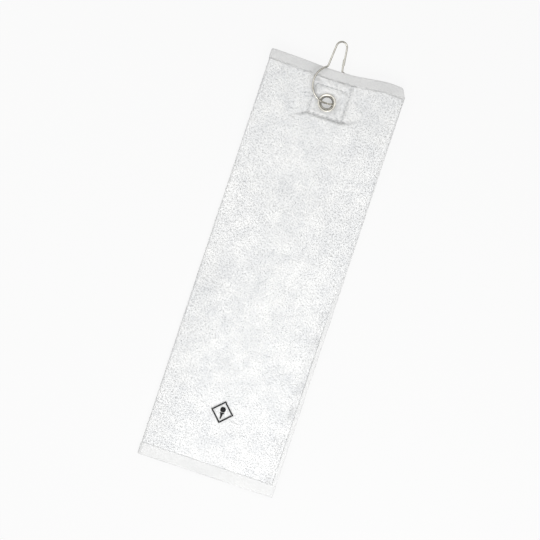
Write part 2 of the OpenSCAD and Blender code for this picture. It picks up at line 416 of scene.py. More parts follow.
def arches(name: str, feet: np.ndarray, heads: np.ndarray, up: np.ndarray, height: Union[float, np.ndarray],
           radius: float, sides: int = 3, steps: int = 3, sink: float = 0.3) -> bpy.types.Object:
    """Make many small arches of thread, each a closed mesh.

    Args:
        name: the piece's name.
        feet: where each arch starts, in millimetres.
        heads: where each arch ends.
        up: which way each arch stands, as unit vectors.
        height: how high each one stands.
        radius: the thread's radius.
        sides: sides of the thread.
        steps: lengths along an arch.
        sink: how far the ends go under the surface.

    Returns:
        The object.
    """
    number = len(feet)
    height = np.broadcast_to(np.asarray(height, float), (number,))
    along = heads - feet
    reach = along / np.linalg.norm(along, axis=1, keepdims=True)
    side = np.cross(reach, up)
    side /= np.linalg.norm(side, axis=1, keepdims=True)
    t = np.linspace(0.0, 1.0, steps + 1)
    rise = np.sin(np.pi * t) ** 0.8
    centre = feet[:, None] + along[:, None] * t[None, :, None]
    centre = centre + up[:, None] * (height[:, None] * rise[None] - sink * (rise[None] < 0.05))[..., None]
    tangent = np.gradient(centre, axis=1)
    tangent /= np.linalg.norm(tangent, axis=2, keepdims=True)
    out = np.cross(side[:, None], tangent)
    angle = 2 * np.pi * np.arange(sides) / sides + np.pi / 2
    ring = (centre[:, :, None] + radius * (np.cos(angle)[None, None, :, None] * side[:, None, None]
                                           + np.sin(angle)[None, None, :, None] * out[:, :, None]))
    per = (steps + 1) * sides
    local = np.arange(per).reshape(steps + 1, sides)
    beside = np.roll(local, -1, axis=1)
    quads = np.stack([local[:-1], beside[:-1], beside[1:], local[1:]], -1).reshape(-1, 4)
    offsets = np.arange(number) * per
    all_quads = (quads[None] + offsets[:, None, None]).reshape(-1, 4)
    caps = [local[0][::-1], local[-1]]
    if sides == 4:
        all_quads = np.concatenate([all_quads] + [c[None] + offsets[:, None] for c in caps])
        return mesh_piece(name, ring.reshape(-1, 3), all_quads)
    others = [row for c in caps for row in (c[None] + offsets[:, None])]
    return mesh_piece(name, ring.reshape(-1, 3), all_quads, others)


def wire(name: str, path: np.ndarray, radius: float) -> bpy.types.Object:
    """Draw a round wire along a path, as a bevelled curve.

    Args:
        name: the piece's name.
        path: centreline points in millimetres.
        radius: the wire's radius.

    Returns:
        The object.
    """
    curve = bpy.data.curves.new(name, "CURVE")
    curve.dimensions = "3D"
    curve.bevel_depth, curve.bevel_resolution, curve.use_fill_caps = radius * MM, 5, True
    spline = curve.splines.new("POLY")
    spline.points.add(len(path) - 1)
    spline.points.foreach_set("co", np.column_stack([path * MM, np.ones(len(path))]).ravel())
    taper = np.ones(len(path))
    taper[[0, -1]], taper[[1, -2]] = 0.45, 0.9
    spline.points.foreach_set("radius", taper)
    spline.use_smooth = True
    thing = bpy.data.objects.new(name, curve)
    bpy.context.collection.objects.link(thing)
    return thing


def paint(piece: bpy.types.Object, shade_at: Surface) -> bpy.types.Object:
    """Store painted shade at each point: how much darker the cotton's colour is made there.

    Args:
        piece: the piece.
        shade_at: painted shade from 0 to 1 at a place, in millimetres.

    Returns:
        The piece.
    """
    count = len(piece.data.vertices)
    points = np.zeros(count * 3)
    piece.data.vertices.foreach_get("co", points)
    points = points.reshape(-1, 3) / MM
    values = np.clip(shade_at(points[:, 0], points[:, 1]), 0.0, 0.9).astype(np.float32)
    piece.data.attributes.new("shade", "FLOAT", "POINT").data.foreach_set("value", values)
    return piece


def smooth_noise(x: np.ndarray, y: np.ndarray, length: float, seed: int) -> np.ndarray:
    """Sum a few waves of about one length, for soft folds.

    Args:
        x: across, in millimetres.
        y: along.
        length: the waves' length in millimetres.
        seed: which set of waves.

    Returns:
        Heights from about -1 to 1.
    """
    rng = np.random.RandomState(seed)
    total = np.zeros(np.broadcast(x, y).shape)
    for _ in range(7):
        angle = rng.uniform(0, 2 * np.pi)
        rate = 2 * np.pi / (length * rng.uniform(0.7, 1.6))
        total += np.sin(rate * (np.cos(angle) * x + np.sin(angle) * y) + rng.uniform(0, 2 * np.pi))
    return total / 3.2


def smoothstep(t: np.ndarray) -> np.ndarray:
    """Go smoothly from 0 to 1."""
    t = np.clip(t, 0.0, 1.0)
    return t * t * (3 - 2 * t)


# ----------------------------------------------------------------------------- the cloth's shape
@dataclass
class ClothShape:
    """The folded towel's surfaces, in millimetres."""

    half_width: float = 66.5
    low: float = -213.45
    top: float = 186.55
    hem_top: float = 10.0
    hem_low: float = 12.0
    rise: float = 6.25
    ramp: tuple[float, float] = (66.0, 140.0)
    ground: float = 0.85
    eyelet: tuple[float, float] = (-1.6, 153.55)
    bore: float = 7.0
    bare: float = 9.6
    hole_z: float = 9.054
    edge_reach: float = 2.2
    box: tuple[float, float, float, float] = (-16.1, 16.9, 140.05, 168.05)
    edge_x: tuple[float, ...] = (-66.5, -45, -28, -12, 2, 16, 30, 48, 62, 66.5)
    edge_dy: tuple[float, ...] = (0.0, -0.4, -0.9, -1.8, -1.5, -0.9, 1.2, 3.4, 2.6, 2.4)

    def lift(self, y: np.ndarray) -> np.ndarray:
        """Rise of the cloth over the clip at y."""
        return self.rise * smoothstep((y - self.ramp[0]) / (self.ramp[1] - self.ramp[0]))

    def top_edge(self, x: np.ndarray) -> np.ndarray:
        """Work out the clip end's wavy edge.

        Args:
            x: across.

        Returns:
            The edge's place along the towel.
        """
        fine = np.linspace(self.edge_x[0], self.edge_x[-1], 200)
        line = np.interp(fine, self.edge_x, self.edge_dy)
        kernel = np.hanning(21) / np.hanning(21).sum()
        soft = np.convolve(np.pad(line, 10, mode="edge"), kernel, mode="valid")
        return self.top + np.interp(x, fine, soft)

    def box_distance(self, x: np.ndarray, y: np.ndarray) -> np.ndarray:
        """Measure from the stitched square's line.

        Args:
            x: across.
            y: along.

        Returns:
            The distance, positive outside.
        """
        x0, x1, y0, y1 = self.box
        dx = np.maximum(x0 - x, x - x1)
        dy = np.maximum(y0 - y, y - y1)
        outside = np.hypot(np.maximum(dx, 0), np.maximum(dy, 0))
        return outside + np.minimum(np.maximum(dx, dy), 0)

    def front(self, x: np.ndarray, y: np.ndarray) -> np.ndarray:
        """Height of the front third's ground cloth, under its pile.

        Args:
            x: across.
            y: along.

        Returns:
            The height over the table.
        """
        z = 5.05 + self.lift(y)
        gap = self.box_distance(x, y)
        z = z + 0.28 * smooth_noise(x, y, 42.0, 3) + 0.12 * smooth_noise(x, y, 13.0, 5)
        z = z + 1.15 * np.exp(-(np.maximum(gap, 0) / 7.5) ** 2) * (0.75 + 0.35 * smooth_noise(x, y, 9.0, 11))
        z = z - 1.7 * np.exp(-(gap / 1.05) ** 2) * (0.8 + 0.35 * smooth_noise(x, y, 4.5, 13))
        x0, x1, _, y1 = self.box
        z = z - 1.5 * self.crease(x, y)
        folds = np.exp(-((y - (y1 + 4.0)) / 4.2) ** 2) / (1 + np.exp((np.abs(x - 0.4) - 19.0) / 1.5))
        z = z + 0.75 * folds * smooth_noise(x * 0.45, y, 3.6, 17)
        z = z - 0.9 * np.exp(-((x - x1 + 0.6) / 1.1) ** 2) * smoothstep((y - y1) / 2.0)
        pinch = self.pinch(x, y)
        return z * (1 - pinch) + (self.hole_z + 1.12) * pinch

    def level(self, height: float) -> Surface:
        """Make the surface that lies at a height over the table and follows the rise."""
        return lambda x, y: height + self.lift(y)

    @staticmethod
    def sunk(y: np.ndarray) -> np.ndarray:
        """How far the side hem lies under the terry at y, 0 to 1."""
        return smoothstep((y + 60.0) / 80.0)

    def top_hem_height(self, x: np.ndarray, y: np.ndarray) -> np.ndarray:
        """Height of the middle of the front hem at the clip end."""
        return self.hole_z + 1.35 + 0.16 * smooth_noise(x, y, 16.0, 23)

    def low_hem_height(self, x: np.ndarray, y: np.ndarray) -> np.ndarray:
        """Height of the middle of the front hem at the free end."""
        return 5.1 + 0.12 * smooth_noise(x, y, 18.0, 29)

    def side_hem_height(self, x: np.ndarray, y: np.ndarray) -> np.ndarray:
        """Height of the middle of the front's side hem."""
        press = 0.85 * smoothstep((y - 150.0) / 22.0) + 0.95 * self.sunk(y)
        return 5.05 + self.lift(y) + 0.12 * smooth_noise(x, y, 14.0, 39) - press

    def crease(self, x: np.ndarray, y: np.ndarray) -> np.ndarray:
        """Work out the puckered crease along the square's lower side.

        Args:
            x: across.
            y: along.

        Returns:
            Its depth, 0 to 1.
        """
        x0, x1, y0, _ = self.box
        past = np.maximum(np.maximum(x0 - x, x - x1), 0)
        bow = 0.35 * np.maximum(x - x1, 0) - 0.5 * np.maximum(x0 - x, 0)
        return np.exp(-((y - y0 + 0.3 - bow) / 1.2) ** 2) * np.exp(-(past / 12.0) ** 2)

    def shade(self, x: np.ndarray, y: np.ndarray) -> np.ndarray:
        """Painted shade on the cotton, where shade falls on the real cloth.

        Args:
            x: across.
            y: along.

        Returns:
            Darkening, 0 for none.
        """
        gap = self.box_distance(x, y)
        # painted shade of needle holes, in dashes along the stitched square's line
        dashes = 0.55 + 0.45 * np.sign(np.sin(2 * np.pi * (x + y) / 4.6))
        value = 0.45 * np.exp(-(gap / 1.1) ** 2) * dashes
        # painted shade in the crease under the square
        value = value + 0.4 * self.crease(x, y) * (0.8 + 0.3 * smooth_noise(x, y, 5.0, 19))
        # painted shade, darker towards the lower left
        value = value + 0.05 * smoothstep((-28.0 - x) / 30.0) * smoothstep((20.0 - y) / 60.0)
        # painted shade in a strip beside the side hem
        edge = np.exp(-((x - 58.5) / 4.0) ** 2) * smoothstep((10.0 - y) / 80.0)
        value = value + 0.1 * edge * (0.7 + 0.5 * smooth_noise(x, y, 22.0, 27))
        x0, x1, _, y1 = self.box
        # painted shade at the step above the square's right side
        step = np.exp(-((x - x1 + 0.9) / 0.9) ** 2) * smoothstep((y - y1) / 2.0)
        # painted shadow round the eyelet's flange
        rim = np.exp(-((self.from_eyelet(x, y) - self.bare) / 0.9) ** 2)
        return value + 0.22 * step + 0.25 * rim

    def from_eyelet(self, x: np.ndarray, y: np.ndarray) -> np.ndarray:
        """Distance from the eyelet's axis."""
        return np.hypot(x - self.eyelet[0], y - self.eyelet[1])

    def pinch(self, x: np.ndarray, y: np.ndarray) -> np.ndarray:
        """How far the layers are pressed together by the eyelet, 0 to 1."""
        return 1.0 - smoothstep((self.from_eyelet(x, y) - 9.4) / 4.6)

    def edge_drop(self, gap: np.ndarray, depth: Union[float, np.ndarray]) -> np.ndarray:
        """How far a face falls near an edge that is gap away, depth at the edge itself."""
        return depth * np.clip(1.0 - gap / self.edge_reach, 0.0, 1.0) ** 2


def ride_towel(piece: bpy.types.Object, *nodes: str) -> bpy.types.Object:
    """Put a piece on the towel's fixed body.

    Args:
        piece: the piece.
        nodes: the CAD nodes that it stands for.

    Returns:
        The piece.
    """
    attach(piece, "towel")
    if nodes:
        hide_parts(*nodes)
    return piece


def ride_front(piece: bpy.types.Object, *nodes: str) -> bpy.types.Object:
    """Bake a piece of the front third into place, its transform applied to its mesh.

    Args:
        piece: the piece.
        nodes: the CAD nodes that it stands for.

    Returns:
        The piece.
    """
    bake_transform(piece)
    if nodes:
        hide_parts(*nodes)
    return piece


# ----------------------------------------------------------------------------- the cloth
@dataclass
class Pile:
    """Rows of cotton loops that stand on a face of the cloth."""

    pitch: float = 1.85
    span: float = 1.15
    height: float = 1.0
    radius: float = 0.26
    seed: int = 7
    steps: int = 3

    def scatter(self, x0: float, x1: float, y0: float, y1: float) -> tuple[np.ndarray, ...]:
        """Lay out loops on a rectangle.

        Args:
            x0: left.
            x1: right.
            y0: lower end.
            y1: upper end.

        Returns:
            Centres across, centres along, and each loop's direction.
        """
        rng = np.random.RandomState(self.seed)
        across = max(2, int(round((x1 - x0) / self.pitch)))
        along = max(2, int(round((y1 - y0) / self.pitch)))
        gx, gy = np.meshgrid((np.arange(across) + 0.5) / across, (np.arange(along) + 0.5) / along)
        gx = x0 + (x1 - x0) * gx + rng.uniform(-0.42, 0.42, gx.shape) * self.pitch
        gy = y0 + (y1 - y0) * gy + rng.uniform(-0.42, 0.42, gy.shape) * self.pitch
        turn = 2.2 * smooth_noise(gx, gy, 9.0, self.seed + 1) + rng.normal(0, 0.7, gx.shape)
        return gx.ravel(), gy.ravel(), turn.ravel()

    def on_face(self, name: str, area: tuple[float, float, float, float], height_at: Surface,
                facing: float = 1.0, keep: Optional[Surface] = None) -> bpy.types.Object:
        """Stand loops on a face that looks up or down.

        Args:
            name: the piece's name.
            area: left, right, lower and upper limits.
            height_at: the face's height at a place.
            facing: 1 for up, -1 for down.
            keep: which loops stay, by place.

        Returns:
            The object.
        """
        x, y, turn = self.scatter(*area)
        if keep is not None:
            mask = keep(x, y)
            x, y, turn = x[mask], y[mask], turn[mask]
        rng = np.random.RandomState(self.seed + 9)
        half = 0.5 * self.span * rng.uniform(0.75, 1.25, len(x))
        dx, dy = np.cos(turn) * half, np.sin(turn) * half
        feet = np.stack([x - dx, y - dy, height_at(x - dx, y - dy)], -1)
        heads = np.stack([x + dx, y + dy, height_at(x + dx, y + dy)], -1)
        lean = rng.normal(0, 0.28, (len(x), 2))
        up = np.stack([lean[:, 0], lean[:, 1], np.full(len(x), facing)], -1)
        up /= np.linalg.norm(up, axis=1, keepdims=True)
        tall = self.height * rng.uniform(0.7, 1.15, len(x))
        return arches(name, feet, heads, up, tall, self.radius, steps=self.steps)

    def on_roll(self, name: str, cx: float, radius: float, y0: float, y1: float,
                centre_z: Callable[[np.ndarray], np.ndarray],
                angles: tuple[float, float]) -> bpy.types.Object:
        """Stand loops on the outside of a fold.

        Args:
            name: the piece's name.
            cx: the fold's centre across.
            radius: the fold's outer radius.
            y0: lower end.
            y1: upper end.
            centre_z: the centre's height along the fold.
            angles: first and last angle round the fold, in degrees.

        Returns:
            The object.
        """
        a0, a1 = np.radians(angles[0]), np.radians(angles[1])
        s, y, turn = self.scatter(a0 * radius, a1 * radius, y0, y1)
        half = 0.5 * self.span
        ends = []
        for way in (-1.0, 1.0):
            a = (s + way * np.cos(turn) * half) / radius
            yy = y + way * np.sin(turn) * half
            ends.append(np.stack([cx + radius * np.cos(a), yy, centre_z(yy) + radius * np.sin(a)], -1))
        a = s / radius
        up = np.stack([np.cos(a), np.zeros(len(a)), np.sin(a)], -1)
        rng = np.random.RandomState(self.seed + 5)
        return arches(name, ends[0], ends[1], up, self.height * rng.uniform(0.7, 1.1, len(a)), self.radius,
                      steps=self.steps)


@dataclass
class FrontThird:
    """The visible third: terry, its pile and hems."""

    shape: ClothShape
    cell: float = 1.5
    left: float = -65.9
    right: float = 62.6
    spread: float = 3.5
    tuck_low: float = 0.8
    tuck_top: float = 0.4

    def terry(self) -> bpy.types.Object:
        """Build the ground cloth and return it."""
        s = self.shape
        x = np.linspace(self.left, self.right, round((self.right - self.left) / self.cell) + 1)
        y = np.linspace(s.low + s.hem_low - self.tuck_low, s.top - s.hem_top + self.tuck_top,
                        int((s.top - s.low - s.hem_low - s.hem_top) / self.cell))
        gx, gy = np.meshgrid(x, y)
        sunk = s.sunk(gy)
        gx = gx + self.spread * sunk * np.clip((gx - 30.0) / (self.right - 30.0), 0.0, 1.0)
        gy = gy + (s.top_edge(gx) - s.top) * smoothstep((gy - 150.0) / 30.0)
        z = s.front(gx, gy) - s.edge_drop(self.hem_gap(gx, gy), 0.3) - self.roll_off(gx)
        z = z - s.edge_drop(self.right + self.spread * sunk - gx, 0.3 + 0.4 * sunk)
        piece = cloth("front_terry", np.stack([gx, gy, z], -1), s.ground, -1.0)
        self._pierce(piece)
        # the ground cloth gets the painted shade map
        return dress(paint(piece, s.shade), Finish.PAINTED_SHADE_TERRY)

    def hem_gap(self, x: np.ndarray, y: np.ndarray) -> np.ndarray:
        """Distance in from the nearer end of the ground cloth."""
        s = self.shape
        return np.minimum(y - (s.low + s.hem_low - self.tuck_low),
                          s.top_edge(x) - s.hem_top + self.tuck_top - y)

    @staticmethod
    def roll_off(x: np.ndarray) -> np.ndarray:
        """Fall of the cloth towards the left fold at x."""
        t = np.clip(-64.3 - x, 0.0, 2.1)
        return 2.2 - np.sqrt(np.maximum(2.2 ** 2 - t ** 2, 0.0))

    def _pierce(self, piece: bpy.types.Object) -> None:
        """Open the eyelet's hole through the cloth.

        Args:
            piece: the cloth.
        """
        cx, cy = self.shape.eyelet
        r = self.shape.bore
        turn = np.linspace(0, 2 * np.pi, 48, False)
        rings = np.array([[(cx + r * math.cos(a), cy + r * math.sin(a), z) for a in turn] for z in (-5.0, 20.0)])
        cutter = swept_ring("hole_cutter", rings)
        cut = piece.modifiers.new("hole", "BOOLEAN")
        cut.operation, cut.solver, cut.object = "DIFFERENCE", "EXACT", cutter
        apply_stack(piece)
        bpy.data.objects.remove(cutter)

    def pile(self) -> list[bpy.types.Object]:
        """Build the loops in three lengths and return them."""
        s = self.shape

        def keep(x: np.ndarray, y: np.ndarray) -> np.ndarray:
            """Leave the eyelet, the thread lines and the hems bare."""
            clear = (s.from_eyelet(x, y) > s.bare) & (np.abs(s.box_distance(x, y)) > 1.35)
            return clear & (y < s.top_edge(x) - s.hem_top + 0.9) & (x < 63.2 + 2.7 * s.sunk(y))

        def height(x: np.ndarray, y: np.ndarray) -> np.ndarray:
            """The ground cloth's height, a little down so that the loops' feet are hidden."""
            return s.front(x, y) - s.edge_drop(self.hem_gap(x, y), 0.15) - self.roll_off(x) - 0.1

        made = []
        cuts = (s.low + s.hem_low - 1.3, -78.0, 48.0, s.top - s.hem_top + 4.4)
        for number, (y0, y1) in enumerate(zip(cuts, cuts[1:])):
            piece = Pile(seed=20 + number).on_face(
                f"front_pile_{number + 1}", (-66.3, 66.2, y0, y1), height, keep=keep)
            # the loops get the same painted shade map
            made.append(dress(paint(piece, s.shade), Finish.LOOP))
        return made

    def inside(self) -> bpy.types.Object:
        """Build the loops on the inner face of the free flap and return them."""
        s = self.shape
        piece = Pile(pitch=2.7, span=1.5, height=0.55, radius=0.3, seed=41, steps=2).on_face(
            "front_inner_pile", (-60.0, 61.0, s.low + s.hem_low + 1, 64.0),
            s.level(4.35), facing=-0.35)
        return dress(piece, Finish.LOOP)

    def top_hem(self) -> bpy.types.Object:
        """Build the flat hem across the clip end and return it."""
        s = self.shape
        x = np.linspace(-64.9, s.half_width, 60)
        t = np.linspace(0.0, 1.0, 6)
        gx, gt = np.meshgrid(x, t)
        edge = s.top_edge(gx)
        edge = edge - 9.4 * np.clip((gx - 61.6) / 4.9, 0.0, 1.0) ** 1.35
        low = s.top_edge(gx) - s.hem_top - 0.3
        low = np.where(gx > 62.5, np.minimum(low, s.top - 12.0), low)
        gy = low + (edge - low) * gt
        mid = s.top_hem_height(gx, gy) - 0.12 * np.abs(gt - 0.5)
        piece = cloth("front_top_hem", np.stack([gx, gy, mid], -1), 1.25, 0.0, 2)
        return dress(piece, Finish.HEM)

    def bottom_hem(self) -> bpy.types.Object:
        """Build the flat hem across the free end and return it."""
        s = self.shape
        x = np.linspace(-63.9, s.half_width, 60)
        t = np.linspace(0.0, 1.0, 6)
        gx, gt = np.meshgrid(x, t)
        y0 = s.low + 0.25 * smooth_noise(gx, 0 * gx, 60.0, 31) + 0.3
        gy = y0 + (s.low + s.hem_low - y0) * gt
        mid = s.low_hem_height(gx, gy) - 0.12 * np.abs(gt - 0.5)
        piece = cloth("front_bottom_hem", np.stack([gx, gy, mid], -1), 1.35, 0.0, 2)
        return dress(piece, Finish.EDGE)

    def side(self) -> bpy.types.Object:
        """Build the flat hem down the free edge and return it."""
        s = self.shape
        y = np.linspace(s.low + s.hem_low - 0.5, s.top - s.hem_top + 2.5, 130)
        t = np.linspace(0.0, 1.0, 4)
        gt, gy = np.meshgrid(t, y)
        x1 = s.half_width + 0.25 * smooth_noise(0 * gy, gy, 70.0, 37) - 0.25
        gx = 62.2 + (x1 - 62.2) * gt
        piece = cloth("front_side_hem", np.stack([gx, gy, s.side_hem_height(gx, gy)], -1), 1.3, 0.0, 2)
        return dress(piece, Finish.EDGE)

    def build(self) -> None:
        """Build the front third; of its pieces only the top hem joins a body, the towel's."""
        terry = ride_front(self.terry(), "front_top", "front_flap")
        loops = [ride_front(piece) for piece in self.pile()]
        loops.append(ride_front(self.inside()))
        top = ride_towel(self.top_hem(), "top_hem_front")
        low = ride_front(self.bottom_hem(), "bottom_hem_front")
        side = ride_front(self.side(), "side_hem_front_top", "side_hem_front_flap")


@dataclass
class HiddenThirds:
    """The rear and middle thirds, with the two folds."""

    shape: ClothShape

    def _panel(self, name: str, x0: float, x1: float, low: float, high: float, seed: int) -> bpy.types.Object:
        """Build one layer between two heights.

        Args:
            name: the piece's name.
            x0: left.
            x1: right.
            low: its underside's height over the table.
            high: its top's height.
            seed: which bumps.

        Returns:
            The object.
        """
        s = self.shape
        y = np.linspace(s.low + s.hem_low - 0.6, s.top - s.hem_top - 0.6, 190)
        gx, gy = np.meshgrid(np.linspace(x0, x1, 64), y)
        lift = s.lift(gy)
        bumps = 0.08 * smooth_noise(gx, gy, 5.0, seed)
        press = s.pinch(gx, gy)
        outside, grip, way = (low + bumps, -1.15, 1.0) if low < 1.0 else (high + bumps, 0.28, -1.0)
        z = (outside + lift) * (1 - press) + (s.hole_z + grip) * press
        piece = cloth(name, np.stack([gx, gy, z], -1), s.ground, way)
        FrontThird(s)._pierce(piece)
        return dress(piece, Finish.PAINTED_SHADE_TERRY)

    def _roll(self, name: str, cx: float, outer: float, inner: float, height: float,
              angles: tuple[float, float], span: tuple[float, float]) -> bpy.types.Object:
        """Build a fold: an arc section that follows the rise.

        Args:
            name: the piece's name.
            cx: the arc's centre across.
            outer: outer radius.
            inner: inner radius.
            height: the centre's height over the cloth's underside.
            angles: the arc, in degrees.
            span: lower and upper end.

        Returns:
            The object.
        """
        a = np.radians(np.linspace(*angles, 13))[::-1]
        y = np.linspace(*span, max(4, int((span[1] - span[0]) / 3.0)))
        ga, gy = np.meshgrid(a, y)
        z = height + self.shape.lift(gy) + outer * np.sin(ga)
        return cloth(name, np.stack([cx + outer * np.cos(ga), gy, z], -1), outer - inner, -1.0, 1)

    def _hem(self, name: str, x0: float, x1: float, y0: float, y1: float, z: float,
             seed: int) -> bpy.types.Object:
        """Build a flat hem strip 1.2 mm thick.

        Args:
            name: the piece's name.
            x0: left.
            x1: right.
            y0: lower end.
            y1: upper end.
            z: its middle's height over the table.
            seed: which waves.

        Returns:
            The object.
        """
        gx, gy = np.meshgrid(np.linspace(x0, x1, max(4, int((x1 - x0) / 4))),
                             np.linspace(y0, y1, max(5, int((y1 - y0) / 4))))
        lift = self.shape.lift(gy) if y1 - y0 > 20 else 0 * gy
        wave = 0.05 * smooth_noise(gx, gy, 12.0, seed)
        piece = cloth(name, np.stack([gx, gy, z + lift + wave], -1), 1.2, 0.0, 1)
        return dress(piece, Finish.HEM)

    def build(self) -> None:
        """Build both thirds and the folds on the towel's fixed body."""
        s = self.shape
        rear = ride_towel(self._panel("rear_terry", -63.4, 64.7, 0.55, 1.75, 51), "back_panel")
        under = ride_towel(dress(Pile(pitch=2.7, span=1.5, height=0.55, radius=0.3, seed=61, steps=2).on_face(
            "rear_pile", (-63.0, 64.0, s.low + s.hem_low, s.top - s.hem_top - 1),
            s.level(0.62), facing=-1.0, keep=lambda x, y: s.from_eyelet(x, y) > s.bare), Finish.LOOP))
        inner = ride_towel(self._panel("middle_terry", -59.2, 64.6, 2.0, 3.35, 53), "middle_flap")
        over = ride_towel(dress(Pile(pitch=2.6, span=1.5, height=0.5, radius=0.3, seed=71, steps=2).on_face(
            "middle_pile", (-58.8, 63.0, s.low + s.hem_low, 70.0),
            s.level(3.3)), Finish.LOOP))
        left = ride_towel(dress(self._roll("left_fold_cloth", -63.5, 2.0, 1.15, 3.0, (82.0, 278.0),
                                           (s.low + s.hem_low - 0.4, s.top - s.hem_top + 0.2)),
                                Finish.LOOP), "left_fold")
        left_loops = ride_towel(dress(Pile(seed=81, pitch=1.6, height=0.75).on_roll(
            "left_fold_pile", -63.5, 1.95, s.low + s.hem_low, s.top - s.hem_top,
            lambda y: 3.0 + s.lift(y), (88.0, 262.0)), Finish.LOOP))
        right = ride_towel(dress(self._roll("right_fold_cloth", 64.6, 1.25, 0.25, 1.9, (-98.0, 98.0),
                                            (s.low + s.hem_low - 0.4, s.top - s.hem_top + 0.2)),
                                 Finish.PAINTED_SHADE_TERRY), "right_fold")
        right_loops = ride_towel(dress(Pile(seed=91, height=0.6).on_roll(
            "right_fold_pile", 64.6, 1.2, s.low + s.hem_low, s.top - s.hem_top,
            lambda y: 1.9 + s.lift(y), (-88.0, 80.0)), Finish.LOOP))
        mid = s.hole_z
        edge = s.top - 1.6
        strips = [
            ("rear_top_hem", -64.6, 65.2, s.top - 11.0, edge - 0.8, mid - 1.3, "top_hem_back"),
            ("middle_top_hem", -63.0, 65.2, s.top - 11.0, edge - 0.8, mid, "top_hem_middle"),
            ("rear_bottom_hem", -64.4, 65.0, s.low + 0.2, s.low + 12.0, 0.66, "bottom_hem_back"),
            ("middle_bottom_hem", -63.0, 65.0, s.low + 0.2, s.low + 12.0, 2.5, "bottom_hem_middle"),
            ("middle_side_hem", -63.0, -59.1, s.low + 12.0, s.top - 11.0, 2.62, "side_hem_middle"),
        ]
        hems = []
        for number, (name, x0, x1, y0, y1, z, cad) in enumerate(strips):
            hems.append(ride_towel(self._hem(name, x0, x1, y0, y1, z, 100 + number), cad))
        for name, cx, outer, inner_r, height, angles, span in (
                ("top_left_wrap", -64.6, 1.95, 0.7, mid - s.rise, (85.0, 275.0), (s.top - 10.4, s.top - 0.3)),
                ("bottom_left_wrap", -63.6, 2.88, 1.6, 2.92, (85.0, 275.0), (s.low + 0.2, s.low + 12.0)),
                ("top_right_wrap", 65.2, 1.25, 0.1, mid - s.rise - 0.65, (-95.0, 95.0),
                 (s.top - 11.0, s.top - 5.0)),
                ("bottom_right_wrap", 65.0, 1.45, 0.3, 1.56, (-95.0, 95.0), (s.low + 0.2, s.low + 12.0))):
            wrap = dress(self._roll(name, cx, outer, inner_r, height, angles, span), Finish.HEM)
            hems.append(ride_towel(wrap))
        inner_hems = [hem for hem in hems if hem.name.startswith("middle")]
        rear_hems = [hem for hem in hems if hem not in inner_hems]


